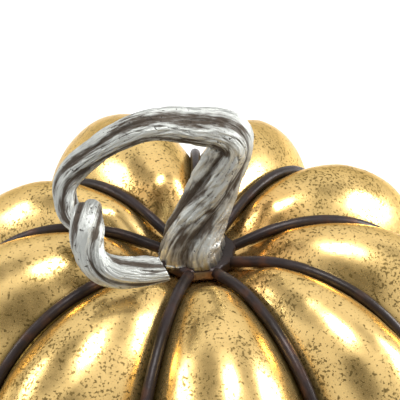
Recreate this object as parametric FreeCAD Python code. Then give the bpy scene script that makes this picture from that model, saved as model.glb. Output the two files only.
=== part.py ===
"""Gold pumpkin ornament: a hollow ceramic body with nine lobes, caged by nine dark rib wires that run in the
grooves from a top hub to a bottom hub, and a cast curled stem. One tie rod through the middle clamps it all.

Units are millimetres. +Z is up, and the origin is on the tie rod's axis, in the plane the felt feet stand on.
"rho" is the distance from the Z axis. Azimuths are in degrees, anticlockwise from +X seen from above.
"""

import FreeCAD
import Part
import math
import os

V = FreeCAD.Vector
UP = V(0, 0, 1)

# --- driving dimensions -------------------------------------------------------------------------------------
# each lobe's height over the wires' centre lines at SWELL_RHO, by the azimuth of the groove it starts at;
# uneven, as the body is shaped by hand
LOBES = {14: 6.9, 54: 8.8, 91: 10.9, 138: 6.0, 172: 8.0, 216: 7.6, 257: 7.8, 299: 6.9, 335: 7.2}
GROOVE_AZIMUTHS = tuple(LOBES)
SWELL_RHO = 45.0
SWELL_POWER = 1.3  # how the height grows with rho

WIRE_R = 2.0  # a 4 mm rod
WIRE_SEAT = 3.4  # from a wire's centre line in to the groove's bottom
EQUATOR_Z = 62.0
WIRE_EQUATOR_RHO = 90.0
CREST_R = 51.0  # wire arc from the crest down to the equator
FLANK_R = 58.0  # wire arc from the equator down
HEEL_R = 30.0  # wire arc under the body
TUCK_R = 15.0  # counter arc into the bottom hub
HUB_SLOPE = 20.0  # degrees: the wires rise this steeply into both hubs
FLANK_END = -60.0
HEEL_END = -140.0

HUB_R = 14.0
HUB_T = 5.0
HUB_RIM_R = 2.0
HUB_ENTRY_RHO = 12.0  # the wires' centre lines cross the hub's middle plane here
SOCKET_END_RHO = 9.0
SOCKET_CLEARANCE = 0.05
GASKET_T = 1.0
GASKET_R = 10.5

LOBE_EXPONENT = 0.66  # lower is a blunter lobe with steeper flanks
GROOVE_SOFTNESS = 0.13  # rounds the groove's bottom
LOBE_START_RHO = 14.0  # the lobes grow out of the deck between these two
LOBE_FULL_RHO = 34.0
FOOT_Z = 1.5  # the lobes' undersides are ground flat here
WALL = 4.5
INNER_SWELL_SHARE = 0.86
INNER_EXPONENT = 1.0
DECK_RINGS = (8.0, 9.5, 11.0, 12.5)  # the flat seat at each pole, round the rod's hole
ROD_HOLE_R = 3.5

FOOT_R = 5.5
FOOT_RHO = 51.0
FOOT_LOBES = (2, 5, 8)  # every third lobe, the widest one among them

ROD_R = 2.95  # M6, over the thread crests
ROD_IN_STEM = 16.0
ROD_TAIL = 2.0
NUT_FLATS = 10.0
NUT_T = 5.0
NUT_CHAMFER = 0.7
WASHER_R = 9.0
WASHER_T = 1.6
BORE_R = 3.2

# the stem's centre line and radius: x, y, height over the top hub, r
STEM = (
    (0.0, 0.0, 0.0, 11.8),
    (-1.4, 0.2, 7.0, 10.2),
    (1.8, 2.0, 16.5, 8.6),
    (6.0, 3.4, 27.0, 7.9),
    (10.0, 4.2, 36.3, 7.4),
    (11.2, 4.2, 42.6, 7.1),
    (6.6, 3.6, 47.4, 6.6),
    (-2.4, 2.2, 49.6, 5.9),
    (-10.4, 0.8, 51.2, 5.4),
    (-17.7, -0.7, 51.0, 5.1),
    (-24.4, -2.1, 49.0, 4.7),
    (-31.1, -3.5, 45.5, 4.4),
    (-37.1, -4.9, 40.9, 4.2),
    (-42.2, -7.0, 35.7, 4.1),
    (-43.9, -10.0, 30.8, 4.0),
    (-42.2, -14.2, 26.0, 4.0),
    (-38.0, -18.6, 25.6, 4.1),
    (-35.2, -22.6, 30.2, 4.3),
    (-34.4, -27.2, 35.2, 4.7),
    (-34.4, -32.4, 33.8, 5.1),
    (-34.2, -36.0, 28.4, 5.1),
    (-30.6, -38.0, 23.2, 5.0),
    (-25.1, -37.8, 20.5, 4.8),
    (-18.8, -36.4, 19.3, 4.7),
    (-14.4, -35.2, 18.9, 4.4),
    (-10.8, -34.3, 18.6, 3.9),
)
STEM_SIDES = 10

# how finely the body's surface is shaped
STEPS_PER_LOBE = 14
CREST_ROWS = 13
FLANK_ROWS = 8
HEEL_ROWS = 9
TUCK_ROWS = 3


# --- the wires' path in the rho-z plane ---------------------------------------------------------------------
def polar(centre, radius, degrees):
    a = math.radians(degrees)
    return centre[0] + radius * math.cos(a), centre[1] + radius * math.sin(a)


def wire_path():
    """A wire's centre line from the top hub to the bottom hub, as tangent runs and arcs. A run is
    (start, end), and an arc is (centre, radius, first angle, last angle)."""
    slope = math.tan(math.radians(HUB_SLOPE))
    crest = (WIRE_EQUATOR_RHO - CREST_R, EQUATOR_Z)
    flank = (WIRE_EQUATOR_RHO - FLANK_R, EQUATOR_Z)
    heel = polar(flank, FLANK_R - HEEL_R, FLANK_END)
    tuck = polar(heel, HEEL_R + TUCK_R, HEEL_END)
    leave = polar(crest, CREST_R, 90 + HUB_SLOPE)
    arrive = polar(tuck, TUCK_R, 90 - HUB_SLOPE)
    top = (SOCKET_END_RHO, leave[1] - slope * (leave[0] - SOCKET_END_RHO))
    bottom = (SOCKET_END_RHO, arrive[1] + slope * (arrive[0] - SOCKET_END_RHO))
    return (
        (top, leave),
        (crest, CREST_R, 90 + HUB_SLOPE, 0),
        (flank, FLANK_R, 0, FLANK_END),
        (heel, HEEL_R, FLANK_END, HEEL_END),
        (tuck, TUCK_R, 180 + HEEL_END, 90 - HUB_SLOPE),
        (arrive, bottom),
    )


def along(piece, share):
    """The point and outward normal at a share of the way along one run or arc of the wire path."""
    if len(piece) == 2:
        (r0, z0), (r1, z1) = piece
        length = math.hypot(r1 - r0, z1 - z0)
        return (r0 + (r1 - r0) * share, z0 + (z1 - z0) * share), ((z0 - z1) / length, (r1 - r0) / length)
    centre, radius, first, last = piece
    degrees = first + (last - first) * share
    side = 1 if last < first else -1
    return polar(centre, radius, degrees), polar((0, 0), side, degrees)


def at_rho(run, rho):
    """The height of a straight run of the wire path where it crosses rho."""
    (r0, z0), (r1, z1) = run
    return z0 + (z1 - z0) * (rho - r0) / (r1 - r0)


PATH = wire_path()
TOP_HUB_Z = at_rho(PATH[0], HUB_ENTRY_RHO)
BOTTOM_HUB_Z = at_rho(PATH[-1], HUB_ENTRY_RHO)
SEAT_Z = TOP_HUB_Z + HUB_T / 2  # the stem stands here
TOP_DECK_Z = TOP_HUB_Z - HUB_T / 2 - GASKET_T
BOTTOM_DECK_Z = BOTTOM_HUB_Z + HUB_T / 2 + GASKET_T


def spun(rho, z, degrees):
    a = math.radians(degrees)
    return V(rho * math.cos(a), rho * math.sin(a), z)


def wire_solid(degrees, radius):
    """A round rod along the whole wire path, in the vertical plane at this azimuth."""
    edges = []
    for piece in PATH:
        ends = [spun(*along(piece, share)[0], degrees) for share in (0, 0.5, 1)]
        if len(piece) == 2:
            edges.append(Part.LineSegment(ends[0], ends[2]).toShape())
        else:
            edges.append(Part.Arc(*ends).toShape())
    start = edges[0].valueAt(edges[0].FirstParameter)
    heading = edges[0].tangentAt(edges[0].FirstParameter)
    section = Part.Wire([Part.makeCircle(radius, start, heading)])
    return Part.Wire(edges).makePipeShell([section], True, True)


# --- the ceramic body ---------------------------------------------------------------------------------------
def across_lobe(c, exponent):
    """The lobe's cross-section: 0 at the grooves, where c is -1 and 1, and 1 at the crest. It is a power of
    the cosine, with the grooves' bottoms rounded."""
    soft = GROOVE_SOFTNESS
    low = soft**exponent
    high = (1 + soft * soft) ** (exponent / 2)
    return ((math.cos(math.pi * c / 2) ** 2 + soft * soft) ** (exponent / 2) - low) / (high - low)


def lobe_height(rho, swell):
    """A lobe's height over the groove's bottom."""
    t = min(1.0, max(0.0, (rho - LOBE_START_RHO) / (LOBE_FULL_RHO - LOBE_START_RHO)))
    grown = t * t * (3 - 2 * t)
    return grown * (swell * (rho / SWELL_RHO) ** SWELL_POWER + WIRE_SEAT)


def groove_rows():
    """The groove bottom's points and normals, from the top deck round to the bottom deck."""
    first_run = (0.55, 0.78)
    last_run = (0.2, 0.45)
    shares = (
        first_run,
        [i / CREST_ROWS for i in range(CREST_ROWS)],
        [i / FLANK_ROWS for i in range(FLANK_ROWS)],
        [i / HEEL_ROWS for i in range(HEEL_ROWS)],
        [i / TUCK_ROWS for i in range(TUCK_ROWS)],
        last_run,
    )
    rows = []
    for piece, steps in zip(PATH, shares):
        for share in steps:
            (rho, z), (nr, nz) = along(piece, share)
            rows.append((rho - nr * WIRE_SEAT, z - nz * WIRE_SEAT, nr, nz))
    return rows


def lobe_angles():
    """Azimuth, place across its lobe and the lobe's swell, all the way round, closest near the grooves."""
    found = []
    for i, start in enumerate(GROOVE_AZIMUTHS):
        width = (GROOVE_AZIMUTHS[(i + 1) % len(GROOVE_AZIMUTHS)] - start) % 360
        for j in range(STEPS_PER_LOBE):
            even = 2 * j / STEPS_PER_LOBE - 1
            c = 0.5 * even + 0.5 * math.sin(math.pi * even / 2)
            found.append((start + width * (c + 1) / 2, c, LOBES[start]))
    return found


def body_grid(inset, share, exponent, floor):
    """Rows of points round the body, from deck to deck and never below the floor. The inner surface is inset
    from the groove's bottom, and swells by a share of the outer one."""
    angles = lobe_angles()

    def ring(rho, z):
        return [spun(rho, z, a) for a, _, _ in angles]

    top, bottom = TOP_DECK_Z - inset, BOTTOM_DECK_Z + inset
    grid = [ring(rho, top) for rho in DECK_RINGS]
    for rho, z, nr, nz in groove_rows():
        row = []
        for a, c, swell in angles:
            out = lobe_height(rho, swell) * share * across_lobe(c, exponent) - inset
            row.append(spun(rho + nr * out, max(z + nz * out, floor), a))
        grid.append(row)
    return grid + [ring(rho, bottom) for rho in reversed(DECK_RINGS)]


def passed_through(row):
    """Control points of a closed uniform cubic spline that passes through the row's points."""
    count = len(row)
    poles = list(row)
    for _ in range(9):
        mean = [(poles[i - 1] + poles[i] * 4 + poles[(i + 1) % count]) * (1 / 6) for i in range(count)]
        poles = [pole + point - here for pole, point, here in zip(poles, row, mean)]
    return poles


def tube_face(rows):
    """A face closed round each row of control points, and clamped at its first and last row."""
    spans = len(rows) - 3
    surface = Part.BSplineSurface()
    surface.buildFromPolesMultsKnots(
        rows,
        [4] + [1] * (spans - 1) + [4],
        [1] * (len(rows[0]) + 1),
        list(range(spans + 1)),
        list(range(len(rows[0]) + 1)),
        False,
        True,
        3,
        3,
    )
    return surface.toShape()


def capped(rows):
    """The closed solid inside a tube face whose first and last rows are each flat."""
    side = tube_face(rows)
    caps = [Part.Face(Part.Wire([edge])) for edge in side.Edges if edge.isClosed()]
    skin = Part.makeCompound([side] + caps)
    skin.sewShape()
    return Part.makeSolid(skin)


def body_shell():
    """A hollow shell. Its feet are ground flat, and the rod's hole goes through both decks."""
    reach = 2 * WIRE_EQUATOR_RHO
    outer = body_grid(0, 1, LOBE_EXPONENT, -reach)
    inner = body_grid(WALL, INNER_SWELL_SHARE, INNER_EXPONENT, FOOT_Z + WALL)
    walls = capped([passed_through(row) for row in outer]).cut(capped([passed_through(row) for row in inner]))
    ground_away = Part.makeBox(2 * reach, 2 * reach, reach, V(-reach, -reach, FOOT_Z - reach))
    hole = Part.makeCylinder(ROD_HOLE_R, 2 * TOP_DECK_Z)
    return walls.cut(Part.makeCompound([ground_away, hole]))


# --- hubs, rod and fasteners --------------------------------------------------------------------------------
def hub(z, wires):
    """A disc with a rounded rim, bored for the rod, with a socket for each wire."""
    disc = Part.makeCylinder(HUB_R, HUB_T, V(0, 0, z - HUB_T / 2))
    rims = [e for e in disc.Edges if e.isClosed()]
    disc = disc.makeFillet(HUB_RIM_R, rims)
    bore = Part.makeCylinder(BORE_R, 2 * HUB_T, V(0, 0, z - HUB_T))
    return disc.cut(Part.makeCompound([bore] + wires))


def washer(radius, thickness, bottom):
    plate = Part.makeCylinder(radius, thickness, V(0, 0, bottom))
    return plate.cut(Part.makeCylinder(BORE_R, 3 * thickness, V(0, 0, bottom - thickness)))


def nut(bottom):
    """A hexagon with both faces' corners taken off by a cone, bored for the rod."""
    corner = NUT_FLATS / math.sqrt(3)
    face_r = corner - NUT_CHAMFER
    middle_r = face_r + NUT_T / 2 / math.tan(math.radians(30))
    hexagon = Part.Face(Part.makePolygon([spun(corner, bottom, turn) for turn in range(0, 361, 60)]))
    upper = Part.makeCone(middle_r, face_r, NUT_T / 2, V(0, 0, bottom + NUT_T / 2))
    lower = Part.makeCone(face_r, middle_r, NUT_T / 2, V(0, 0, bottom))
    bore = Part.makeCylinder(ROD_R, 3 * NUT_T, V(0, 0, bottom - NUT_T))
    return hexagon.extrude(UP * NUT_T).common(upper.fuse(lower)).cut(bore)


def felt_foot(lobe):
    start = GROOVE_AZIMUTHS[lobe]
    middle = start + ((GROOVE_AZIMUTHS[(lobe + 1) % len(GROOVE_AZIMUTHS)] - start) % 360) / 2
    return Part.makeCylinder(FOOT_R, FOOT_Z, spun(FOOT_RHO, 0, middle))


# --- the cast stem ------------------------------------------------------------------------------------------
def eased(points):
    """Control points of a clamped uniform cubic spline that passes through or near all of the points."""
    last = len(points) - 1
    poles = list(points)
    for _ in range(12):
        inner = range(1, last)
        mean = {i: [(a + 4 * b + c) / 6 for a, b, c in zip(*poles[i - 1 : i + 2])] for i in inner}
        for i in inner:
            poles[i] = [pole + point - here for pole, point, here in zip(poles[i], points[i], mean[i])]
    return poles


def stem_rows():
    """Rings of control points square to the centre line. Each ring's first side is carried along from the
    ring before, so the skin doesn't twist, and the first ring is level."""
    reach = 3 / (2 + math.cos(2 * math.pi / STEM_SIDES))  # a cubic spline runs inside its control polygon
    line = eased(STEM)
    centres = [V(x, y, SEAT_Z + height) for x, y, height, _ in line]
    side = V(1, 0, 0)
    rows = []
    for i, centre in enumerate(centres):
        before, after = centres[max(i - 1, 0)], centres[min(i + 1, len(centres) - 1)]
        heading = UP if i == 0 else (after - before).normalize()
        side = (side - heading * side.dot(heading)).normalize()
        other = heading.cross(side)
        radius = line[i][3] * reach
        turns = [2 * math.pi * j / STEM_SIDES for j in range(STEM_SIDES)]
        rows.append([centre + side * (radius * math.cos(t)) + other * (radius * math.sin(t)) for t in turns])
    return rows


def stem():
    blind = Part.makeCylinder(ROD_R, ROD_IN_STEM + 1, V(0, 0, SEAT_Z - 1))
    return capped(stem_rows()).cut(blind)


# --- build --------------------------------------------------------------------------------------------------
def build():
    washer_z = BOTTOM_HUB_Z - HUB_T / 2 - WASHER_T
    nut_z = washer_z - NUT_T
    rod_z = nut_z - ROD_TAIL
    sockets = [wire_solid(a, WIRE_R + SOCKET_CLEARANCE) for a in GROOVE_AZIMUTHS]
    parts = {
        "body_shell": body_shell(),
        "top_hub": hub(TOP_HUB_Z, sockets),
        "bottom_hub": hub(BOTTOM_HUB_Z, sockets),
        "top_gasket": washer(GASKET_R, GASKET_T, TOP_DECK_Z),
        "bottom_gasket": washer(GASKET_R, GASKET_T, BOTTOM_DECK_Z - GASKET_T),
        "stem": stem(),
        "tie_rod": Part.makeCylinder(ROD_R, SEAT_Z + ROD_IN_STEM - rod_z, V(0, 0, rod_z)),
        "base_washer": washer(WASHER_R, WASHER_T, washer_z),
        "base_nut": nut(nut_z),
    }
    for i, azimuth in enumerate(GROOVE_AZIMUTHS):
        parts[f"rib_wire_{i + 1}"] = wire_solid(azimuth, WIRE_R)
    for i, lobe in enumerate(FOOT_LOBES):
        parts[f"felt_foot_{i + 1}"] = felt_foot(lobe)
    return parts


os.makedirs("parts", exist_ok=True)
for name, shape in build().items():
    print(name, shape.isValid(), f"{shape.Volume:.0f} mm3")
    shape.exportStep(f"parts/{name}.step")
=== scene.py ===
"""Looks of the gold pumpkin ornament: nine lobes of gold-lustre ceramic caged by dark rib wires, and a cast,
twisted stem clamped on with a tie rod. The shapes are worked out in millimetres and put down in metres.

The Z axis is the tie rod's. "rho" is the distance from it, and azimuths are in degrees from +X.
"""

import itertools
import math

import bpy
import numpy as np
from bpy.props import FloatProperty, FloatVectorProperty, IntProperty, PointerProperty
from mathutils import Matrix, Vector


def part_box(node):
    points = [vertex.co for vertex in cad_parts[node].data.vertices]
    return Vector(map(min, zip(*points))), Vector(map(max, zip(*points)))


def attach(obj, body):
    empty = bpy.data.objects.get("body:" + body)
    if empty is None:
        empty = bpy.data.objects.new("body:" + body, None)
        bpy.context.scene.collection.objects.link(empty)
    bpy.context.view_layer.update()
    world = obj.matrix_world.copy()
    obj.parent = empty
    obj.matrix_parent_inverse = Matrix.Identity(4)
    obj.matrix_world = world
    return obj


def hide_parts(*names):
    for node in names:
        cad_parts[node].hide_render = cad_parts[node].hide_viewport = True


bl_info = {
    "name": "Gold Pumpkin Ornament",
    "version": (1, 0, 0),
    "blender": (4, 5, 0),
    "location": "View3D > Sidebar > Pumpkin",
    "description": "Builds a lobed gold ceramic pumpkin with rib wires, hubs and a twisted stem",
    "category": "Object",
}

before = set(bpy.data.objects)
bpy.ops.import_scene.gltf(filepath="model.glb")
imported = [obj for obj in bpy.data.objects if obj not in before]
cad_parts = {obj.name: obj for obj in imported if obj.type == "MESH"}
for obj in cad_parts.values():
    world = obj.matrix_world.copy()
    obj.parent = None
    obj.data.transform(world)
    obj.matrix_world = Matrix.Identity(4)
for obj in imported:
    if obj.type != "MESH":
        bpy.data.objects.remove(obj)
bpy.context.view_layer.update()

MM = 0.001
BODY = "root"

# --- sizes shared with the design, in millimetres
# each groove's azimuth, and the swell of the lobe that follows it
LOBES = {14: 6.9, 54: 8.8, 91: 10.9, 138: 6.0, 172: 8.0, 216: 7.6, 257: 7.8, 299: 6.9, 335: 7.2}
SWELL_RHO = 45.0
SWELL_POWER = 1.3
LOBE_EXPONENT = 0.66
LOBE_START_RHO = 14.0
LOBE_FULL_RHO = 34.0
GROOVE_SOFTNESS = 0.13
WIRE_SEAT = 3.4
WALL = 4.5
EQUATOR_Z = 62.0
EQUATOR_RHO = 90.0
SOCKET_RHO = 9.0
HUB_SLOPE = 20.0
RIB_ARCS = ((51.0, -110.0), (58.0, -60.0), (30.0, -80.0), (15.0, 30.0))  # radius and turn, in degrees

# --- the body's looks
LOBE_COLUMNS = 48
OUTER_ROWS = 150
INNER_ROWS = 44
NECK_RHO = 15.5  # the lobes' surface stops here, under the hubs
DECK_RADII = (3.5, 8.0, 11.5, 12.6)
INNER_DECK_RADII = (12.0, 7.0, 3.5)
INNER_SHARE = 0.86  # the inner surface's lobes are this much of the outer ones'
INNER_EXPONENT = 1.0
DENT_WAVES = ((26.0, 1.0, 381), (11.0, 0.45, 382), (5.0, 0.16, 5))  # cell, share of the height and seed
NECK_CROWN = 0.35
FLAT_CROWN = 0.30

# --- the wires' and hubs' looks
WIRE_ROWS = 190
WIRE_SIDES = 20
WIRE_RADIUS = 1.97
WIRE_BEATING = 0.055
HUB_RHO = 12.9
HUB_CORNER = 1.6
HUB_SWELL = 1.2
HUB_SWELL_WIDTH = 2.8
HUB_SWELL_RHO = 14.0  # the width is measured at this distance
HUB_DENT = 0.22

# --- the stem's looks: sizes are shares of its radius, and turns are in radians
STEM_ROWS = 500
STEM_COLUMNS = 180
FIRST_STRAND = math.radians(-55)  # azimuth of one strand at the stem's foot
FOOT_TWIST = 1.3
TIP_TWIST = 5.6
STRAND_SIZE = 0.545
STRAND_AWAY = 0.475  # a strand's middle from the bundle's
BUNDLE_CORE = 0.60
BUNDLE_SIZE = 1.035
SLIMMEST, THICKEST = 0.62, 1.22
FIBRE_CELLS = 3.2  # the fibres' noise has about this many cells in a radian
FIBRE_LENGTH = 12.0  # of a cell, in millimetres
FIBRE_RELIEF = 0.040
SPLIT_RELIEF = 0.038
HAIR_RELIEF = 0.020
CRACK_DEPTH = 0.045
LUMP_RELIEF = 0.045
FOOT_FLARE = 0.07
FOOT_END = 0.075  # share of the stem's length
FOOT_SHIFT = (2.2, 0.5, 0.0)  # how far the foot spreads towards -X and -Y, in millimetres
TIP_START = 0.96  # share of the stem's length
TIP_SLANT = -0.45
TIP_SLANT_TURN = 0.8

# the stem's centre line and radius: x, y, height over the top hub, r
STEM = (
    (0.0, 0.0, 0.0, 11.8),
    (-1.4, 0.2, 7.0, 10.2),
    (1.8, 2.0, 16.5, 8.6),
    (6.0, 3.4, 27.0, 7.9),
    (10.0, 4.2, 36.3, 7.4),
    (11.2, 4.2, 42.6, 7.1),
    (6.6, 3.6, 47.4, 6.6),
    (-2.4, 2.2, 49.6, 5.9),
    (-10.4, 0.8, 51.2, 5.4),
    (-17.7, -0.7, 51.0, 5.1),
    (-24.4, -2.1, 49.0, 4.7),
    (-31.1, -3.5, 45.5, 4.4),
    (-37.1, -4.9, 40.9, 4.2),
    (-42.2, -7.0, 35.7, 4.1),
    (-43.9, -10.0, 30.8, 4.0),
    (-42.2, -14.2, 26.0, 4.0),
    (-38.0, -18.6, 25.6, 4.1),
    (-35.2, -22.6, 30.2, 4.3),
    (-34.4, -27.2, 35.2, 4.7),
    (-34.4, -32.4, 33.8, 5.1),
    (-34.2, -36.0, 28.4, 5.1),
    (-30.6, -38.0, 23.2, 5.0),
    (-25.1, -37.8, 20.5, 4.8),
    (-18.8, -36.4, 19.3, 4.7),
    (-14.4, -35.2, 18.9, 4.4),
    (-10.8, -34.3, 18.6, 3.9),
)


# --- what a user would change -------------------------------------------------------------------------------
class PumpkinGlaze(bpy.types.PropertyGroup):
    gold: FloatVectorProperty(
        name="Gold",
        description="Colour of the clean lustre",
        subtype="COLOR",
        default=(0.86, 0.60, 0.235),
    )
    # also the colour of the painted shade and painted wire reflection along the grooves
    olive: FloatVectorProperty(
        name="Age",
        description="Colour of the worn, darkened lustre",
        subtype="COLOR",
        default=(0.115, 0.070, 0.006),
    )
    # the colour of a painted warm reflection on the lobes near the top hub
    amber: FloatVectorProperty(
        name="Amber",
        description="Warm tint near the top hub",
        subtype="COLOR",
        default=(0.82, 0.36, 0.09),
    )
    dents: FloatProperty(
        name="Dents",
        description="Height of the slow waves in the lobes, in millimetres",
        default=0.55,
        min=0,
        max=2,
    )


class PumpkinMetal(bpy.types.PropertyGroup):
    wire: FloatVectorProperty(
        name="Wire",
        description="Colour of the rib wires and hubs",
        subtype="COLOR",
        default=(0.018, 0.0120, 0.0095),
    )
    rust: FloatVectorProperty(
        name="Rust",
        description="Rubbed brown on the wires",
        subtype="COLOR",
        default=(0.075, 0.032, 0.018),
    )
    pewter: FloatVectorProperty(
        name="Pewter",
        description="Colour of the stem's bright ridges",
        subtype="COLOR",
        default=(0.45, 0.465, 0.435),
    )
    # also the colour of the painted shade on the left of the stem's foot
    patina_and_shade: FloatVectorProperty(
        name="Patina",
        description="Colour of the stem's hollows",
        subtype="COLOR",
        default=(0.038, 0.021, 0.009),
    )
    strands: IntProperty(
        name="Strands",
        description="Strands twisted together in the stem",
        default=4,
        min=2,
        max=9,
    )


class PumpkinStage(bpy.types.PropertyGroup):
    floor: FloatVectorProperty(
        name="Floor",
        description="Floor colour",
        subtype="COLOR",
        default=(0.86, 0.86, 0.86),
    )
    lens: FloatProperty(
        name="Lens",
        description="Camera lens on a 36 mm sensor",
        default=91.63,
        min=10,
        subtype="DISTANCE_CAMERA",
    )
    distance: FloatProperty(
        name="Distance",
        description="Camera to its target",
        default=0.350,
        min=0.1,
        unit="LENGTH",
    )
    elevation: FloatProperty(
        name="Elevation",
        description="Camera's height angle",
        default=math.radians(36.24),
        subtype="ANGLE",
    )


def glaze():
    return bpy.context.scene.pumpkin_glaze


def metal():
    return bpy.context.scene.pumpkin_metal


# --- meshes from grids of points ----------------------------------------------------------------------------
def skin(name, rows, material, ring=False, sharp=None, **attributes):
    """A closed piece from a grid of points in millimetres. Columns always join up round the piece. Rows join
    up too if ring is true, and otherwise a fan to the middle of the first and last row closes each end. Each
    attribute is a value for every point of the grid."""
    count, across = rows.shape[:2]
    points = rows.reshape(-1, 3)
    row = np.arange(count if ring else count - 1)[:, None]
    column = np.arange(across)[None, :]
    right = (column + 1) % across
    above = (row + 1) % count
    low_left, low_right = row * across + column, row * across + right
    high_left, high_right = above * across + column, above * across + right
    quads = np.stack([low_left, low_right, high_right, high_left], -1)
    corners = [quads.reshape(-1)]
    sizes = [np.full(quads.size // 4, 4)]
    if not ring:
        first = np.arange(across)
        second = (first + 1) % across
        last = (count - 1) * across
        points = np.concatenate([points, rows[:1].mean(1), rows[-1:].mean(1)])
        bottom = np.stack([second, first, np.full(across, len(points) - 2)], -1)
        top = np.stack([last + first, last + second, np.full(across, len(points) - 1)], -1)
        corners += [bottom.reshape(-1), top.reshape(-1)]
        sizes += [np.full(2 * across, 3)]
    corners, sizes = np.concatenate(corners), np.concatenate(sizes)
    mesh = bpy.data.meshes.new(name)
    mesh.vertices.add(len(points))
    mesh.vertices.foreach_set("co", (points * MM).astype(np.float32).reshape(-1))
    mesh.loops.add(len(corners))
    mesh.loops.foreach_set("vertex_index", corners.astype(np.int32))
    mesh.polygons.add(len(sizes))
    mesh.polygons.foreach_set("loop_start", (np.cumsum(sizes) - sizes).astype(np.int32))
    mesh.update(calc_edges=True)
    mesh.validate()
    mesh.shade_smooth()
    if sharp:
        mesh.set_sharp_from_angle(angle=math.radians(sharp))
    for key, values in attributes.items():
        values = values.reshape(-1)
        values = np.concatenate([values, np.full(len(points) - len(values), values.mean())])
        mesh.attributes.new(key, "FLOAT", "POINT").data.foreach_set("value", values.astype(np.float32))
    mesh.materials.append(material)
    piece = bpy.data.objects.new(name, mesh)
    bpy.context.scene.collection.objects.link(piece)
    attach(piece, BODY)
    return piece


def stands_for(piece, slot, *nodes):
    """The piece takes the place of these nodes of the design, which it hides. The slot is not used."""
    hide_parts(*nodes)
    return piece


def noise(points, cell, seed):
    """Gradient noise from -1 to 1. Each corner of a cubic lattice has a random slope, and a point blends its
    eight corners' slopes by 6t^5 - 15t^4 + 10t^3 of its place in the cell."""
    random = np.random.default_rng(seed)
    order = random.permutation(256)
    slopes = random.normal(size=(256, 3))
    slopes /= np.linalg.norm(slopes, axis=1, keepdims=True)
    place = points / cell
    base = np.floor(place).astype(int)
    t = place - base
    fade = t**3 * (t * (t * 6 - 15) + 10)
    total = np.zeros(points.shape[:-1])
    for corner in itertools.product((0, 1), repeat=3):
        x, y, z = (base[..., axis] + corner[axis] for axis in range(3))
        slope = slopes[order[(order[(order[x & 255] + y) & 255] + z) & 255]]
        weight = np.prod(np.where(corner, fade, 1 - fade), axis=-1)
        total += weight * ((t - corner) * slope).sum(-1)
    return np.clip(total * 1.7, -1, 1)


def spun(rho, z, azimuth):
    """Points from rho, height and azimuth in degrees, which broadcast together."""
    turn = np.radians(azimuth)
    return np.stack(np.broadcast_arrays(rho * np.cos(turn), rho * np.sin(turn), z), -1)


def turned(name, outline, material, sides=96, ring=True, **settings):
    """A lathe-turned piece: a closed outline of (rho, z) points, anticlockwise, spun round the Z axis."""
    outline = np.array(outline)
    azimuth = np.linspace(0, 360, sides, endpoint=False)[None, :]
    return skin(name, spun(outline[:, :1], outline[:, 1:], azimuth), material, ring=ring, **settings)


def smooth_step(low, high, value):
    """3t^2 - 2t^3, where t is the value's place from low to high, kept between 0 and 1."""
    t = np.clip((value - low) / (high - low), 0, 1)
    return t * t * (3 - 2 * t)


# --- the rib wires' line and the lobes between them ---------------------------------------------------------
def rib_line(count):
    """A rib wire's centre line from hub to hub: rho, z and the outward normal's two parts at evenly spaced
    points. The heading keeps still along both end runs and turns at a steady rate round each arc, and each
    point is the sum of the headings before it."""
    slope = math.radians(HUB_SLOPE)
    run = (EQUATOR_RHO - RIB_ARCS[0][0] * (1 + math.sin(slope)) - SOCKET_RHO) / math.cos(slope)
    lengths = [run] + [radius * math.radians(abs(turn)) for radius, turn in RIB_ARCS] + [run]
    turns = [0.0] + [math.radians(turn) for _, turn in RIB_ARCS] + [0.0]
    ends = np.concatenate([[0], np.cumsum(lengths)])
    headings = slope + np.concatenate([[0], np.cumsum(turns)])
    steps = 40 * count
    along = np.linspace(0, ends[-1], steps)
    middle = np.interp((along[1:] + along[:-1]) / 2, ends, headings)
    rho = SOCKET_RHO + np.concatenate([[0], np.cumsum(np.cos(middle))]) * along[1]
    rise = np.concatenate([[0], np.cumsum(np.sin(middle))]) * along[1]
    z = EQUATOR_Z + RIB_ARCS[0][0] * math.cos(slope) - run * math.sin(slope) + rise
    end = along[(rho > SOCKET_RHO - 0.01).nonzero()[0][-1]]
    even = np.linspace(0, end, count)
    heading = np.interp(even, ends, headings)
    return np.interp(even, along, rho), np.interp(even, along, z), -np.sin(heading), np.cos(heading)


def across_lobe(c, exponent):
    """A lobe's cross-section: a power of cos^2(pi c / 2) + softness^2, set to 0 at the grooves, where c is -1
    and 1, and to 1 at the crest."""
    soft = GROOVE_SOFTNESS**2
    low = soft ** (exponent / 2)
    high = (1 + soft) ** (exponent / 2)
    return ((np.cos(np.pi * c / 2) ** 2 + soft) ** (exponent / 2) - low) / (high - low)


def lobe_columns(per_lobe):
    """Azimuth, place across its lobe and the lobe's swell for each column. Columns are closer together near
    the grooves."""
    grooves = np.array(list(LOBES))
    widths = (np.roll(grooves, -1) - grooves) % 360
    even = 2 * np.arange(per_lobe) / per_lobe - 1
    c = 0.5 * even + 0.5 * np.sin(np.pi * even / 2)
    azimuth = grooves[:, None] + widths[:, None] * (c + 1) / 2
    swell = np.repeat(list(LOBES.values()), per_lobe)
    return azimuth.reshape(-1), np.tile(c, len(LOBES)), swell


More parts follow.
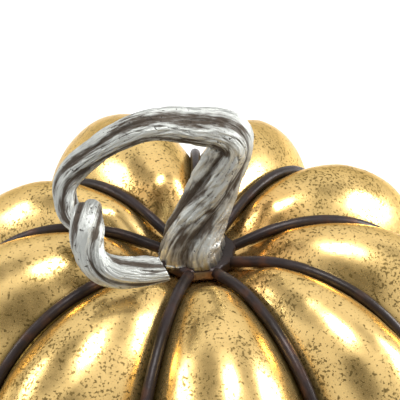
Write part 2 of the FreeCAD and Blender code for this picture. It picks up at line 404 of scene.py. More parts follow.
def body_surface(rows, columns, inset, share, exponent, foot, dents):
    """The body's outer or inner surface from the top deck to the bottom one, and how near each point is to a
    lobe's crown. A point stands out from the groove's bottom, along the groove's normal, by the lobe's height
    times its cross-section. The height grows as a power of rho. Slow noise dents the lobes, and fades out at
    the grooves."""
    rho, z, nr, nz = (part[:, None] for part in rib_line(rows))
    azimuth, c, swell = (part[None, :] for part in columns)
    grown = smooth_step(LOBE_START_RHO, LOBE_FULL_RHO, rho)
    height = grown * (swell * (rho / SWELL_RHO) ** SWELL_POWER + WIRE_SEAT)
    crown = across_lobe(c, exponent)
    out = height * share * crown - inset - WIRE_SEAT
    points = spun(rho + nr * out, z + nz * out, azimuth)
    wave = sum(part * noise(points, cell, seed) for cell, part, seed in DENT_WAVES)
    out = out + dents * wave * grown * np.sqrt(crown)
    points = spun(rho + nr * out, z + nz * out, azimuth)
    points[..., 2] = np.maximum(points[..., 2], foot + inset)
    past_neck = rho[:, 0] > NECK_RHO
    return points[past_neck], (grown * crown + (1 - grown) * NECK_CROWN)[past_neck]


def make_body():
    """The hollow body: both surfaces and the flat decks round the rod's holes, in one closed ring of rows."""
    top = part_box("top_gasket")[0][2] / MM
    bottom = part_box("bottom_gasket")[1][2] / MM
    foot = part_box("body_shell")[0][2] / MM
    columns = lobe_columns(LOBE_COLUMNS)
    outer, outer_crown = body_surface(OUTER_ROWS, columns, 0, 1, LOBE_EXPONENT, foot, glaze().dents)
    inner, inner_crown = body_surface(INNER_ROWS, columns, WALL, INNER_SHARE, INNER_EXPONENT, foot, 0)

    def deck(z, radii):
        return spun(np.array(radii)[:, None], z, columns[0][None, :])

    upper, lower = deck(top, DECK_RADII), deck(bottom, DECK_RADII[::-1])
    inner_upper = deck(top - WALL, INNER_DECK_RADII)
    inner_lower = deck(bottom + WALL, INNER_DECK_RADII[::-1])
    rows = np.concatenate([upper, outer, lower, inner_lower, inner[::-1], inner_upper])
    flat = [np.full(part.shape[:2], FLAT_CROWN) for part in (upper, lower, inner_lower, inner_upper)]
    crown = np.concatenate([flat[0], outer_crown, flat[1], flat[2], inner_crown[::-1], flat[3]])
    piece = skin("pumpkin_body", rows[::-1], gold_lustre(), ring=True, crown=crown[::-1])
    stands_for(piece, "gold_glaze", "body_shell")


def spokes(side_a, side_b, count):
    """Unit vectors round each point of a line: side_a * cos(turn) + side_b * sin(turn), at even turns."""
    turn = np.linspace(0, 2 * np.pi, count, endpoint=False)[:, None]
    return side_a[:, None] * np.cos(turn) + side_b[:, None] * np.sin(turn)


def make_rib_wires():
    """Nine hand-bent rods. Each follows the rib line in its own vertical plane, and noise beats it a little
    out of round."""
    rho, z, nr, nz = rib_line(WIRE_ROWS)
    material = dark_wire()
    for number, azimuth in enumerate(LOBES, 1):
        turn = math.radians(azimuth)
        centres = spun(rho, z, azimuth)[:, None]
        out = np.stack([nr * math.cos(turn), nr * math.sin(turn), nz], -1)
        side = np.broadcast_to([-math.sin(turn), math.cos(turn), 0.0], out.shape)
        ring = spokes(side, out, WIRE_SIDES)
        wear = noise(centres + 2 * ring, 6.0, 20 + number) + 0.5 * noise(centres + 2 * ring, 2.4, 40)
        radii = WIRE_RADIUS + WIRE_BEATING * wear
        piece = skin(f"rib_wire_{number}_rod", centres + ring * radii[..., None], material, wear=wear)
        stands_for(piece, "dark_metal", f"rib_wire_{number}")


# --- the cast stem ------------------------------------------------------------------------------------------
def eased(points):
    """Control points of a clamped uniform cubic spline through or near all of the points: each inner one
    moves by its point's distance from (a + 4b + c) / 6, until it settles."""
    poles = points.copy()
    for _ in range(12):
        poles[1:-1] += points[1:-1] - (poles[:-2] + 4 * poles[1:-1] + poles[2:]) / 6
    return poles


def spline(poles, count):
    """Points along the clamped cubic B-spline of the poles, by the Cox-de Boor recursion on whole arrays."""
    spans = len(poles) - 3
    knots = np.concatenate([[0] * 3, np.arange(spans + 1), [spans] * 3]).astype(float)
    u = np.linspace(0, spans - 1e-9, count)[:, None]
    weights = ((knots[:-1] <= u) & (u < knots[1:])).astype(float)
    for degree in (1, 2, 3):
        start, end = knots[: -degree - 1], knots[degree:-1]
        rise = np.divide(u - start, end - start, out=np.zeros((count, len(start))), where=end > start)
        start, end = knots[1:-degree], knots[degree + 1 :]
        fall = np.divide(end - u, end - start, out=np.zeros((count, len(start))), where=end > start)
        weights = rise * weights[:, :-1] + fall * weights[:, 1:]
    return weights @ poles


def carried_sides(line):
    """Two unit vectors square to the line at each of its points, carried along it without twisting. The turn
    from one point to the next is the smallest that keeps them square."""
    heading = np.gradient(line, axis=0)
    heading[0] = (0, 0, 1)
    heading /= np.linalg.norm(heading, axis=1, keepdims=True)
    side = np.zeros_like(line)
    side[0] = (1, 0, 0)
    for i in range(1, len(line)):
        carried = side[i - 1] - heading[i] * (side[i - 1] @ heading[i])
        side[i] = carried / np.linalg.norm(carried)
    return side, np.cross(heading, side)


def strand_outline(angle, along, strands):
    """How far the outside of a bundle of round strands is from its middle, as a share of the bundle's radius:
    the furthest of the strands' circles along each direction,
    away * cos(turn) + sqrt(size^2 - (away * sin(turn))^2). Each strand's size and place swell and shrink
    slowly along the stem. Also the bundle's twist."""
    twist = FIRST_STRAND + FOOT_TWIST * smooth_step(0.0, 0.25, along)
    twist = twist + TIP_TWIST * smooth_step(0.48, 1.0, along)
    reach = np.full(np.broadcast_shapes(angle.shape, along.shape), BUNDLE_CORE)
    for k in range(strands):
        slow = np.sin(2 * np.pi * (1.3 * along + 0.37 * k))
        quick = np.sin(2 * np.pi * (3.1 * along + 0.61 * k))
        turn = angle - (2 * np.pi * k / strands + twist + 0.16 * slow + 0.10 * quick)
        size = STRAND_SIZE + 0.045 * np.sin(2 * np.pi * (1.7 * along + 0.23 * k)) + 0.030 * math.cos(2.4 * k)
        away = STRAND_AWAY + 0.025 * np.sin(2 * np.pi * (2.3 * along + 0.41 * k))
        inside = size**2 - (away * np.sin(turn)) ** 2
        hit = away * np.cos(turn) + np.sqrt(np.maximum(inside, 0))
        reach = np.maximum(reach, np.where(inside > 0, hit, 0))
    return reach, twist


def round_mean(values, reach):
    """Each value's mean with its neighbours round the piece, up to reach columns away."""
    return sum(np.roll(values, step, 1) for step in range(-reach, reach + 1)) / (2 * reach + 1)


def patina_and_shade_depth(rows, share, swirl, along, hair, crack):
    """How dark each point of the stem is: more in narrow and in broad hollows of the outline, where the
    outline is low altogether, in cracks and in slow stains, and on the left side of the foot, where shade is
    painted. It is thickest over the arch."""
    near, wide = round_mean(share, 9), round_mean(share, 23)
    hollows = 4.5 * (near - share) + 4.0 * (wide - near) + 1.2 * (0.93 - share)
    stain = 0.34 * noise(rows, 9.0, 65) + 0.16 * noise(rows, 3.0, 66) + 0.10 * hair + 0.20 * crack - 0.10
    # painted shade: the left side of the foot, turning with the strands
    painted_left_shade = np.cos(swirl + 1.6).clip(0, 1) * (1 - smooth_step(0.05, 0.26, along))
    aged = 0.18 + 0.35 * smooth_step(0.20, 0.32, along) - 0.10 * smooth_step(0.46, 0.58, along)
    return np.clip(aged + hollows + stain + 0.65 * painted_left_shade, 0, 0.84)


def make_stem():
    """A casting of twisted strands. Long fibres and narrow cracks run along them, the foot is ragged, and the
    tip is cut on a slant. A crack is where a stretched noise is near 0, exp(-(noise / width)^2)."""
    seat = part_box("top_hub")[1][2] / MM
    line = spline(eased(np.array(STEM)), STEM_ROWS)
    centres, radius = line[:, :3] + [0, 0, seat], line[:, 3:]
    length = np.concatenate([[0], np.cumsum(np.linalg.norm(np.diff(centres, axis=0), axis=1))])[:, None]
    along = length / length[-1]
    side_a, side_b = carried_sides(centres)
    angle = np.linspace(0, 2 * np.pi, STEM_COLUMNS, endpoint=False)[None, :]
    outline, twist = strand_outline(angle, along, metal().strands)
    swirl = angle - twist
    cells = FIBRE_CELLS * np.cos(swirl), FIBRE_CELLS * np.sin(swirl), length / FIBRE_LENGTH
    grain = np.stack(np.broadcast_arrays(*cells), -1)
    fibre = noise(grain, 1.0, 61)
    split = noise(grain * [2.1, 2.1, 1.4], 1.0, 62)
    hair = noise(grain * [3.6, 3.6, 1.8], 1.0, 64)
    crack = np.exp(-((fibre / 0.13) ** 2)) + 0.6 * np.exp(-((split / 0.10) ** 2))
    lumps = noise(np.stack(np.broadcast_arrays(np.cos(angle), np.sin(angle), length / 9.0), -1), 0.9, 63)
    foot = 1 - smooth_step(0.0, FOOT_END, along)
    rough = FIBRE_RELIEF * fibre + SPLIT_RELIEF * split + HAIR_RELIEF * hair - CRACK_DEPTH * crack
    rough += LUMP_RELIEF * lumps
    share = np.clip(BUNDLE_SIZE * outline * (1 + rough) + FOOT_FLARE * foot, SLIMMEST, THICKEST)
    slant = TIP_SLANT * smooth_step(TIP_START, 1.0, along) * np.sin(angle - TIP_SLANT_TURN)
    rows = centres[:, None] + spokes(side_a, side_b, STEM_COLUMNS) * (radius * share)[..., None]
    rows += np.cross(side_a, side_b)[:, None] * (radius * slant)[..., None] - foot[..., None] * FOOT_SHIFT
    # patina in the hollows, with painted shade on the left of the foot
    hollow = patina_and_shade_depth(rows, share, swirl, along, hair, crack)
    fibres = {f"fibre_{axis}": grain[..., index] for index, axis in enumerate("xyz")}
    piece = skin("twisted_stem", rows, antique_pewter(), hollow=hollow, **fibres)
    stands_for(piece, "stem_metal", "stem")


# --- hubs, rod and fasteners --------------------------------------------------------------------------------
def make_hubs():
    """Two cast collars. The rim swells round each wire, as exp(-(distance / width)^2), and noise dents it."""
    material = dark_wire()
    angle = np.linspace(0, 360, 216, endpoint=False)[None, :]
    gap = np.abs((angle[..., None] - np.array(list(LOBES)) + 180) % 360 - 180)
    swell = np.exp(-((np.radians(gap) * HUB_SWELL_RHO / HUB_SWELL_WIDTH) ** 2)).sum(-1)
    quarter = np.linspace(0, math.pi / 2, 7)
    half_rho = np.concatenate([[3.2, 7.0, 10.0, 11.0], HUB_RHO - HUB_CORNER * (1 - np.sin(quarter))])
    half_rise = np.concatenate([[0, 0, 0, 0], HUB_CORNER * (1 - np.cos(quarter))])
    rho = np.concatenate([half_rho, half_rho[::-1]])[:, None]
    rim = smooth_step(9.0, HUB_RHO, rho)
    for name in ("top_hub", "bottom_hub"):
        low, high = (corner[2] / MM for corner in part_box(name))
        z = np.concatenate([low + half_rise, high - half_rise[::-1]])[:, None]
        rows = spun(rho + HUB_SWELL * swell * rim, z, angle)
        rows = spun(rho + (HUB_SWELL * swell + HUB_DENT * noise(rows, 4.0, 71)) * rim, z, angle)
        piece = skin(f"{name}_collar", rows, material, ring=True, sharp=50, wear=noise(rows, 5.0, 72))
        stands_for(piece, "dark_metal", name)


def threaded(name, low, high, radius, pitch, depth, material):
    """A threaded rod. The radius falls from the crest by the depth times a flattened triangle wave of
    height / pitch less the angle's share of a turn, and the thread runs out at both ends."""
    rows_a_turn = 10
    steepness, flat_crest, run_out = 2.6, 0.25, 0.7
    z = np.linspace(low, high, int((high - low) / pitch * rows_a_turn))[:, None]
    angle = np.linspace(0, 2 * np.pi, 28, endpoint=False)[None, :]
    phase = (z / pitch - angle / (2 * np.pi)) % 1
    tooth = np.clip(np.abs(phase - 0.5) * steepness - flat_crest, 0, 1)
    end = np.minimum(smooth_step(low, low + 1.0, z), smooth_step(-high, -high + 1.0, -z))
    rho = radius - depth * tooth - run_out * (1 - end)
    return skin(name, spun(rho, z, np.degrees(angle)), material)


def make_clamp():
    """The rod with its washer and nut under the bottom hub, and the rubber rings that keep the hubs off the
    glaze."""
    steel = plated_steel()
    rubber = ring_rubber()
    low, high = (corner[2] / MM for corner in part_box("tie_rod"))
    stands_for(threaded("threaded_rod", low, high, 2.93, 1.0, 0.55, steel), "fastener", "tie_rod")

    low, high = (corner[2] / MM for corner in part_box("base_washer"))
    hole, edge, soft = 3.25, 9.0, 0.35
    lower = ((hole, low), (edge - soft, low), (edge, low + soft))
    upper = ((edge, high - soft), (edge - soft, high), (hole, high))
    stands_for(turned("pressed_washer", lower + upper, steel, sharp=30), "fastener", "base_washer")

    low, high = (corner[2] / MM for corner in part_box("base_nut"))
    half_flats = 5.0
    angle = np.linspace(0, 360, 144, endpoint=False)[None, :]
    hexagon = half_flats / np.cos(np.radians((angle + 30) % 60 - 30))
    chamfer_rho = np.array([3.0, 3.5, 4.9, 5.2, 5.5, 5.8])
    inset = np.array([0.5, 0.0, 0.0, 0.17, 0.34, 0.51])
    rho = np.concatenate([chamfer_rho, chamfer_rho[::-1]])[:, None]
    z = np.concatenate([low + inset, high - inset[::-1]])[:, None]
    rows = spun(np.minimum(rho, hexagon), z, angle)
    stands_for(skin("hex_nut", rows, steel, ring=True, sharp=25), "fastener", "base_nut")

    hole, edge, bulge, soft = 3.3, 10.3, 0.25, 0.3
    for name in ("top_gasket", "bottom_gasket"):
        low, high = (corner[2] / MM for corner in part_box(name))
        lower = ((hole, low), (edge, low), (edge + bulge, low + soft))
        upper = ((edge + bulge, high - soft), (edge, high), (hole, high))
        stands_for(turned(f"{name}_ring", lower + upper, rubber), "gasket", name)


def make_feet():
    """Felt discs, with a soft edge that noise frays."""
    material = grey_felt()
    soft, fray_depth = 0.45, 0.12
    quarter = np.linspace(0, math.pi / 2, 6)
    angle = np.linspace(0, 360, 120, endpoint=False)[None, :]
    for number in (1, 2, 3):
        low, high = (np.array(corner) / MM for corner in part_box(f"felt_foot_{number}"))
        middle = (low + high) / 2
        radius = (high - low)[0] / 2
        edge = radius - soft + soft * np.sin(quarter)
        rise = soft - soft * np.cos(quarter)
        rho = np.concatenate([[1.0, 3.0], edge, edge[::-1], [3.0, 1.0]])[:, None]
        z = np.concatenate([low[2] + [0, 0], low[2] + rise, high[2] - rise[::-1], high[2] - [0, 0]])[:, None]
        fray = noise(spun(rho, z, angle) + 17.0 * number, 0.8, 81) * smooth_step(3.5, 5.5, rho)
        rows = spun(rho - fray_depth * (1 - fray), z, angle) + [middle[0], middle[1], 0]
        stands_for(skin(f"felt_disc_{number}", rows, material), "felt", f"felt_foot_{number}")


# --- materials ----------------------------------------------------------------------------------------------
def node(tree, kind, links=(), **settings):
    """A shader node. Links is pairs of an input's name or number and a value or another node's output."""
    made = tree.nodes.new(kind)
    for key, value in settings.items():
        setattr(made, key, value)
    for key, value in links:
        if isinstance(value, bpy.types.NodeSocket):
            tree.links.new(value, made.inputs[key])
        else:
            made.inputs[key].default_value = value
    return made


def maths(tree, operation, a, b=None, clamp=False):
    links = [(0, a)] + ([(1, b)] if b is not None else [])
    return node(tree, "ShaderNodeMath", links, operation=operation, use_clamp=clamp).outputs[0]


def spread(tree, value, low, high, to_low=0.0, to_high=1.0):
    """The value mapped smoothly from one range to another."""
    links = [("Value", value), ("From Min", low), ("From Max", high), ("To Min", to_low), ("To Max", to_high)]
    return node(tree, "ShaderNodeMapRange", links, interpolation_type="SMOOTHSTEP").outputs["Result"]


def blend_colour(tree, share, a, b):
    made = node(tree, "ShaderNodeMix", data_type="RGBA")
    for socket, value in (("Factor_Float", share), ("A_Color", a), ("B_Color", b)):
        target = next(i for i in made.inputs if i.identifier == socket)
        if isinstance(value, bpy.types.NodeSocket):
            tree.links.new(value, target)
        else:
            target.default_value = (*value, 1.0) if hasattr(value, "__len__") else value
    return next(o for o in made.outputs if o.identifier == "Result_Color")


def tinted(tree, tone, colour, share, amount):
    """The tone, blended towards a colour by a share times an amount."""
    return blend_colour(tree, maths(tree, "MULTIPLY", share, amount), tone, colour)


def weighted(tree, base, *terms):
    """The base and the sum of value * weight over (value, weight) pairs."""
    for value, weight in terms:
        base = maths(tree, "ADD", maths(tree, "MULTIPLY", value, weight), base)
    return base


def attribute(tree, name):
    return node(tree, "ShaderNodeAttribute", attribute_name=name).outputs["Fac"]


def new_group(name, inputs, outputs):
    """A node group with a vector input and the named number inputs, and the named outputs."""
    tree = bpy.data.node_groups.new(name, "ShaderNodeTree")
    tree.interface.new_socket("Vector", in_out="INPUT", socket_type="NodeSocketVector")
    for key, value in inputs.items():
        tree.interface.new_socket(key, in_out="INPUT", socket_type="NodeSocketFloat").default_value = value
    for key in outputs:
        tree.interface.new_socket(key, in_out="OUTPUT", socket_type="NodeSocketFloat")
    return tree, tree.nodes.new("NodeGroupInput").outputs, tree.nodes.new("NodeGroupOutput").inputs


def age_specks():
    """Ragged dots in clusters: the peaks of a fine noise, above a limit that a slow noise lowers."""
    if "Age Specks" in bpy.data.node_groups:
        return bpy.data.node_groups["Age Specks"]
    settings = {"Scale": 900.0, "Cluster Scale": 50.0, "Sparse": 0.72, "Dense": 0.60}
    tree, given, result = new_group("Age Specks", settings, ["Mask", "Cluster"])
    place = given["Vector"]
    fine = [("Vector", place), ("Scale", given["Scale"]), ("Detail", 1.5), ("Roughness", 0.55)]
    dots = node(tree, "ShaderNodeTexNoise", fine).outputs["Fac"]
    slow = [("Vector", place), ("Scale", given["Cluster Scale"]), ("Detail", 4.0), ("Roughness", 0.62)]
    cluster = spread(tree, node(tree, "ShaderNodeTexNoise", slow).outputs["Fac"], 0.38, 0.64)
    limit = spread(tree, cluster, 0.0, 1.0, given["Sparse"], given["Dense"])
    over = maths(tree, "SUBTRACT", dots, limit)
    tree.links.new(maths(tree, "MULTIPLY", over, 12.0, clamp=True), result["Mask"])
    tree.links.new(cluster, result["Cluster"])
    return tree


def worn_grain():
    """Fine grain for a bump, and broad blotches, whose contrast is raised about their middle."""
    if "Worn Grain" in bpy.data.node_groups:
        return bpy.data.node_groups["Worn Grain"]
    settings = {"Scale": 400.0, "Contrast": 1.0}
    tree, given, result = new_group("Worn Grain", settings, ["Height", "Blotch"])
    place = given["Vector"]
    fine = [("Vector", place), ("Scale", given["Scale"]), ("Detail", 5.0), ("Roughness", 0.65)]
    tree.links.new(node(tree, "ShaderNodeTexNoise", fine).outputs["Fac"], result["Height"])
    broad = [("Vector", place), ("Scale", maths(tree, "MULTIPLY", given["Scale"], 0.22)), ("Detail", 3.0)]
    centred = maths(tree, "SUBTRACT", node(tree, "ShaderNodeTexNoise", broad).outputs["Fac"], 0.5)
    stretched = maths(tree, "MULTIPLY", maths(tree, "MULTIPLY", centred, 3.0), given["Contrast"])
    tree.links.new(maths(tree, "ADD", stretched, 0.5, clamp=True), result["Blotch"])
    return tree


def use_group(tree, group, place, **values):
    made = node(tree, "ShaderNodeGroup", node_tree=group)
    tree.links.new(place, made.inputs["Vector"])
    for key, value in values.items():
        made.inputs[key.replace("_", " ")].default_value = value
    return made.outputs


def new_material(name):
    """A material with a Principled shader, and its tree, shader and Object coordinates. The last three are
    None if another piece has made the material already."""
    if name in bpy.data.materials:
        return bpy.data.materials[name], None, None, None
    material = bpy.data.materials.new(name)
    material.use_nodes = True
    tree = material.node_tree
    place = tree.nodes.new("ShaderNodeTexCoord").outputs["Object"]
    return material, tree, tree.nodes["Principled BSDF"], place


def bumped(tree, shader, height, distance, strength):
    bump = node(tree, "ShaderNodeBump", [("Height", height), ("Distance", distance), ("Strength", strength)])
    tree.links.new(bump.outputs["Normal"], shader.inputs["Normal"])


def gold_lustre():
    """Mirror-like gold over ceramic, aged with specks in clusters and olive clouds. Painted shade and a
    painted reflection of the dark wires darken it along the grooves, and a painted amber reflection warms it
    near the top hub."""
    material, tree, shader, place = new_material("Gold lustre")
    if tree is None:
        return material
    look = glaze()
    rubbed_gold, speck = (0.60, 0.39, 0.12), (0.050, 0.031, 0.003)
    fine = use_group(tree, age_specks(), place, Scale=1050.0, Cluster_Scale=48.0, Sparse=0.62, Dense=0.515)
    coarse = use_group(tree, age_specks(), place, Scale=600.0, Cluster_Scale=70.0, Sparse=0.68, Dense=0.590)
    grain = use_group(tree, worn_grain(), place, Scale=330.0, Contrast=1.3)
    # painted shade and painted reflection of the wires: grows towards the grooves, where the crown attribute
    # is low
    painted_groove_shade = spread(tree, attribute(tree, "crown"), 0.34, 0.04)
    spots = maths(tree, "MAXIMUM", fine["Mask"], coarse["Mask"])
    soft = [("Vector", place), ("Scale", 24.0), ("Detail", 5.0), ("Roughness", 0.62)]
    cloud = node(tree, "ShaderNodeTexNoise", soft).outputs["Fac"]
    parts = node(tree, "ShaderNodeSeparateXYZ", [("Vector", place)]).outputs
    squares = [maths(tree, "MULTIPLY", parts[axis], parts[axis]) for axis in ("X", "Y")]
    # painted amber reflection: strongest near the axis, broken up by a soft noise
    near_axis = spread(tree, maths(tree, "ADD", *squares), 0.0022, 0.0003)
    painted_amber_reflection = maths(tree, "MULTIPLY", near_axis, spread(tree, cloud, 0.40, 0.62))
    tone = tinted(tree, look.gold, rubbed_gold, grain["Blotch"], 0.20)
    tone = tinted(tree, tone, look.amber, painted_amber_reflection, 0.6)
    tone = tinted(tree, tone, look.olive, spread(tree, cloud, 0.50, 0.74), 0.34)
    tone = tinted(tree, tone, look.olive, fine["Cluster"], 0.16)
    # the painted groove shade and wire reflection, in the olive colour
    tone = tinted(tree, tone, look.olive, painted_groove_shade, 0.88)
    tone = tinted(tree, tone, speck, spots, 0.78)
    rough = weighted(tree, 0.15, (grain["Height"], 0.16), (spots, 0.12), (painted_groove_shade, 0.18))
    tree.links.new(tone, shader.inputs["Base Color"])
    tree.links.new(rough, shader.inputs["Roughness"])
    shader.inputs["Specular Tint"].default_value = (0.80, 0.66, 0.42, 1.0)
    shader.inputs["Metallic"].default_value = 0.88
    bumped(tree, shader, grain["Height"], 0.00004, 0.5)
    return material


def dark_wire():
    """Brown-black metal, with rust where it is rubbed."""
    material, tree, shader, place = new_material("Dark wire")
    if tree is None:
        return material
    look = metal()
    warm_black, soot = (0.030, 0.021, 0.021), (0.012, 0.009, 0.008)
    grain = use_group(tree, worn_grain(), place, Scale=700.0, Contrast=1.6)
    broad = use_group(tree, worn_grain(), place, Scale=220.0, Contrast=1.8)
    rubbed = maths(tree, "MULTIPLY", spread(tree, attribute(tree, "wear"), -0.1, 0.9), broad["Blotch"])
    tone = blend_colour(tree, broad["Blotch"], look.wire, warm_black)
    tone = blend_colour(tree, rubbed, tone, look.rust)
    tone = tinted(tree, tone, soot, grain["Blotch"], 0.35)
    tree.links.new(tone, shader.inputs["Base Color"])
    tree.links.new(weighted(tree, 0.24, (grain["Height"], 0.25)), shader.inputs["Roughness"])
    shader.inputs["Metallic"].default_value = 0.25
    shader.inputs["Specular IOR Level"].default_value = 0.27
    bumped(tree, shader, grain["Height"], 0.00016, 0.6)
    return material


def antique_pewter():
    """Bright rubbed ridges over a brown-black patina in the hollows and painted shade on the left of the
    foot, with streaks along the fibres and casting pits."""
    material, tree, shader, place = new_material("Antique pewter")
    if tree is None:
        return material
    look = metal()
    dull, pit = (0.42, 0.42, 0.40), (0.035, 0.028, 0.024)
    grain = use_group(tree, worn_grain(), place, Scale=520.0, Contrast=1.4)
    pits = use_group(tree, age_specks(), place, Scale=1000.0, Cluster_Scale=110.0, Sparse=0.76, Dense=0.62)
    fibres = enumerate(attribute(tree, f"fibre_{axis}") for axis in "xyz")
    lengthwise = node(tree, "ShaderNodeCombineXYZ", fibres).outputs["Vector"]
    fine = [("Vector", lengthwise), ("Scale", 2.6), ("Detail", 5.0), ("Roughness", 0.72)]
    streaks = node(tree, "ShaderNodeTexNoise", fine).outputs["Fac"]
    uneven = maths(tree, "MULTIPLY", maths(tree, "SUBTRACT", grain["Blotch"], 0.5), 0.40)
    lined = maths(tree, "MULTIPLY", maths(tree, "SUBTRACT", streaks, 0.5), 1.5)
    mottled = maths(tree, "ADD", attribute(tree, "hollow"), maths(tree, "ADD", uneven, lined))
    dark = spread(tree, mottled, -0.02, 0.90)
    tone = tinted(tree, look.pewter, dull, grain["Height"], 0.5)
    # patina, and painted shade on the left of the foot
    tone = tinted(tree, tone, look.patina_and_shade, dark, 0.93)
    tone = tinted(tree, tone, pit, pits["Mask"], 0.85)
    rough = weighted(tree, 0.29, (grain["Height"], 0.22), (dark, 0.20))
    tree.links.new(tone, shader.inputs["Base Color"])
    tree.links.new(rough, shader.inputs["Roughness"])
    tree.links.new(weighted(tree, 0.88, (dark, -0.38)), shader.inputs["Metallic"])
    shader.inputs["Specular IOR Level"].default_value = 0.30
    height = weighted(tree, grain["Height"], (streaks, -1.6), (pits["Mask"], -1.2))
    bumped(tree, shader, height, 0.00035, 0.7)
    return material


def plated_steel():
    """Zinc plate, with fine grain and a slight yellow bloom."""
    material, tree, shader, place = new_material("Plated steel")
    if tree is None:
        return material
    zinc, yellowed = (0.62, 0.62, 0.60), (0.50, 0.48, 0.42)
    grain = use_group(tree, worn_grain(), place, Scale=900.0, Contrast=1.0)
    tree.links.new(blend_colour(tree, grain["Blotch"], zinc, yellowed), shader.inputs["Base Color"])
    tree.links.new(weighted(tree, 0.2, (grain["Height"], 0.3)), shader.inputs["Roughness"])
    shader.inputs["Metallic"].default_value = 1.0
    bumped(tree, shader, grain["Height"], 0.00008, 0.5)
    return material


def ring_rubber():
    """Black sheet rubber with a dusty grain."""
    material, tree, shader, place = new_material("Ring rubber")
    if tree is None:
        return material
    black, dust = (0.018, 0.018, 0.018), (0.045, 0.043, 0.040)
    grain = use_group(tree, worn_grain(), place, Scale=1100.0, Contrast=1.2)
    tree.links.new(blend_colour(tree, grain["Blotch"], black, dust), shader.inputs["Base Color"])
    tree.links.new(weighted(tree, 0.5, (grain["Height"], 0.3)), shader.inputs["Roughness"])
    bumped(tree, shader, grain["Height"], 0.0001, 0.6)
    return material


def grey_felt():
    """Pressed wool: flecks of lighter and darker fibre, a rough nap and a soft sheen."""
    material, tree, shader, place = new_material("Grey felt")
    if tree is None:
        return material
    dark_wool, wool, fleck = (0.018, 0.017, 0.016), (0.050, 0.047, 0.044), (0.11, 0.105, 0.10)
    grain = use_group(tree, worn_grain(), place, Scale=1600.0, Contrast=2.0)
    nap = [("Vector", place), ("Scale", 2600.0), ("Detail", 2.0), ("Distortion", 2.5)]
    fibre = node(tree, "ShaderNodeTexNoise", nap).outputs["Fac"]
    tone = blend_colour(tree, grain["Blotch"], dark_wool, wool)
    tone = blend_colour(tree, spread(tree, fibre, 0.55, 0.75), tone, fleck)
    tree.links.new(tone, shader.inputs["Base Color"])
    shader.inputs["Roughness"].default_value = 0.95
    shader.inputs["Sheen Weight"].default_value = 0.3
    bumped(tree, shader, fibre, 0.0003, 0.9)
    return material


# --- stage --------------------------------------------------------------------------------------------------
AIM = (0.00086, 0.0, 0.1298)  # what the camera looks at
FLOOR_REACH = 6.0

# the room's unlit parts: azimuth, height, the outer and inner angle of the soft edge, and depth
DARK_GAPS = ((-90, 41, 28, 11, 0.96), (170, 56, 24, 8, 0.80), (20, 47, 20, 8, 0.55))


def softbox(name, place, aim, width, height, power):
    """A rectangular area light that faces the aim point."""
    lamp = bpy.data.lights.new(name, "AREA")
    lamp.shape = "RECTANGLE"
    lamp.size, lamp.size_y = width, height
    lamp.energy = power
    light = bpy.data.objects.new(name, lamp)
    bpy.context.scene.collection.objects.link(light)
    light.location = place
    x, y, z = np.array(aim) - np.array(place)
    light.rotation_euler = (math.atan2(math.hypot(x, y), -z), 0, math.atan2(-x, y))


def make_floor():
    """A flat sweep far larger than the object."""
    mesh = bpy.data.meshes.new("floor")
    corners = [(x * FLOOR_REACH, y * FLOOR_REACH, 0) for x, y in ((-1, -1), (1, -1), (1, 1), (-1, 1))]
    mesh.from_pydata(corners, [], [(0, 1, 2, 3)])
    floor = bpy.data.objects.new("floor", mesh)
    bpy.context.scene.collection.objects.link(floor)
    material, _, shader, _ = new_material("Pale floor")
    shader.inputs["Base Color"].default_value = (*bpy.context.scene.pumpkin_stage.floor, 1.0)
    shader.inputs["Roughness"].default_value = 0.9
    shader.inputs["Specular IOR Level"].default_value = 0.1
    mesh.materials.append(material)


def make_room():
    """The studio round the object: bright, with soft dark gaps at the front, where the camera stands, and
    high on the left and right, between the softboxes."""
    world = bpy.data.worlds.new("studio")
    bpy.context.scene.world = world
    world.use_nodes = True
    tree = world.node_tree
    background = tree.nodes["Background"]
    low_wall, ceiling, unlit = (0.66, 0.66, 0.67), (0.92, 0.92, 0.93), (0.030, 0.022, 0.004)
    place = tree.nodes.new("ShaderNodeTexCoord").outputs["Generated"]
    parts = node(tree, "ShaderNodeSeparateXYZ", [("Vector", place)]).outputs
    tone = blend_colour(tree, spread(tree, parts["Z"], -0.1, 0.6), low_wall, ceiling)
    for azimuth, height, outer, inner, depth in DARK_GAPS:
        a, e = math.radians(azimuth), math.radians(height)
        middle = (math.cos(a) * math.cos(e), math.sin(a) * math.cos(e), math.sin(e))
        product = node(tree, "ShaderNodeVectorMath", [(0, place), (1, middle)], operation="DOT_PRODUCT")
        edges = math.cos(math.radians(outer)), math.cos(math.radians(inner))
        tone = tinted(tree, tone, unlit, spread(tree, product.outputs["Value"], *edges), depth)
    tree.links.new(tone, background.inputs["Color"])
    background.inputs["Strength"].default_value = 1.08


def make_camera():
    look = bpy.context.scene.pumpkin_stage
    back = np.array([0.0, -math.cos(look.elevation), math.sin(look.elevation)])
    lens = bpy.data.cameras.new("camera")
    lens.lens = look.lens
    lens.sensor_width = 36.0
    camera = bpy.data.objects.new("camera", lens)
    bpy.context.scene.collection.objects.link(camera)
    camera.location = AIM + back * look.distance
    camera.rotation_euler = (math.pi / 2 - look.elevation, 0, 0)
    bpy.context.scene.camera = camera


# --- operators ----------------------------------------------------------------------------------------------
class PUMPKIN_OT_body(bpy.types.Operator):
    """Make the lobed gold body"""

    bl_idname = "pumpkin.body"
    bl_label = "Lobed Body"

    def execute(self, context):
        make_body()
        return {"FINISHED"}


class PUMPKIN_OT_rib_wires(bpy.types.Operator):
    """Make the wires in the grooves"""

    bl_idname = "pumpkin.rib_wires"
    bl_label = "Rib Wires"

    def execute(self, context):
        make_rib_wires()
        return {"FINISHED"}


class PUMPKIN_OT_hubs(bpy.types.Operator):
    """Make the collars that hold the wires' ends"""

    bl_idname = "pumpkin.hubs"
    bl_label = "Hubs"

    def execute(self, context):
        make_hubs()
        return {"FINISHED"}


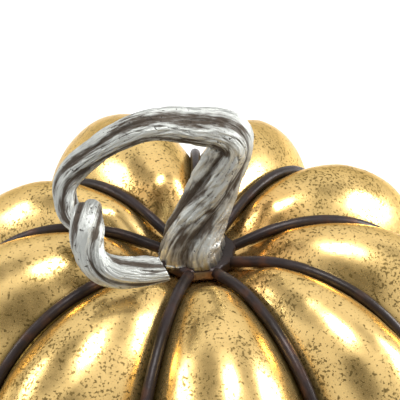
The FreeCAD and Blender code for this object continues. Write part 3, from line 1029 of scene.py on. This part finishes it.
class PUMPKIN_OT_stem(bpy.types.Operator):
    """Make the twisted stem"""

    bl_idname = "pumpkin.stem"
    bl_label = "Twisted Stem"

    def execute(self, context):
        make_stem()
        return {"FINISHED"}


class PUMPKIN_OT_clamp(bpy.types.Operator):
    """Make the tie rod, washer, nut and rubber rings"""

    bl_idname = "pumpkin.clamp"
    bl_label = "Rod and Fasteners"

    def execute(self, context):
        make_clamp()
        return {"FINISHED"}


class PUMPKIN_OT_feet(bpy.types.Operator):
    """Make the felt feet"""

    bl_idname = "pumpkin.feet"
    bl_label = "Felt Feet"

    def execute(self, context):
        make_feet()
        return {"FINISHED"}


class PUMPKIN_OT_stage(bpy.types.Operator):
    """Make the floor, studio, lights and camera"""

    bl_idname = "pumpkin.stage"
    bl_label = "Stage"

    def execute(self, context):
        make_floor()
        make_room()
        softbox("overhead", (0.05, -0.10, 0.86), (0, 0, 0.10), 0.30, 0.26, 5.0)
        softbox("right", (0.72, 0.12, 0.34), (0, 0, 0.08), 0.34, 0.26, 6.0)
        softbox("left", (-0.74, 0.10, 0.42), (0, 0, 0.08), 0.30, 0.22, 1.8)
        make_camera()
        context.scene.view_settings.view_transform = "Standard"
        return {"FINISHED"}


class PUMPKIN_PT_panel(bpy.types.Panel):
    """Lists the pieces and their settings"""

    bl_idname = "PUMPKIN_PT_panel"
    bl_label = "Pumpkin"
    bl_space_type = "VIEW_3D"
    bl_region_type = "UI"
    bl_category = "Pumpkin"

    def draw(self, context):
        for kind in STEPS:
            self.layout.operator(kind.bl_idname)
        for name, kind in SETTINGS.items():
            box = self.layout.box()
            for key in kind.__annotations__:
                box.prop(getattr(context.scene, name), key)


STEPS = (
    PUMPKIN_OT_body,
    PUMPKIN_OT_rib_wires,
    PUMPKIN_OT_hubs,
    PUMPKIN_OT_stem,
    PUMPKIN_OT_clamp,
    PUMPKIN_OT_feet,
    PUMPKIN_OT_stage,
)
SETTINGS = {
    "pumpkin_glaze": PumpkinGlaze,
    "pumpkin_metal": PumpkinMetal,
    "pumpkin_stage": PumpkinStage,
}


def register():
    for kind in (*SETTINGS.values(), *STEPS, PUMPKIN_PT_panel):
        bpy.utils.register_class(kind)
    for key, kind in SETTINGS.items():
        setattr(bpy.types.Scene, key, PointerProperty(type=kind))


def unregister():
    for key in SETTINGS:
        delattr(bpy.types.Scene, key)
    for kind in reversed((*SETTINGS.values(), *STEPS, PUMPKIN_PT_panel)):
        bpy.utils.unregister_class(kind)


def main():
    register()
    for kind in STEPS:
        group, name = kind.bl_idname.split(".")
        getattr(getattr(bpy.ops, group), name)()


if __name__ == "__main__":
    main()
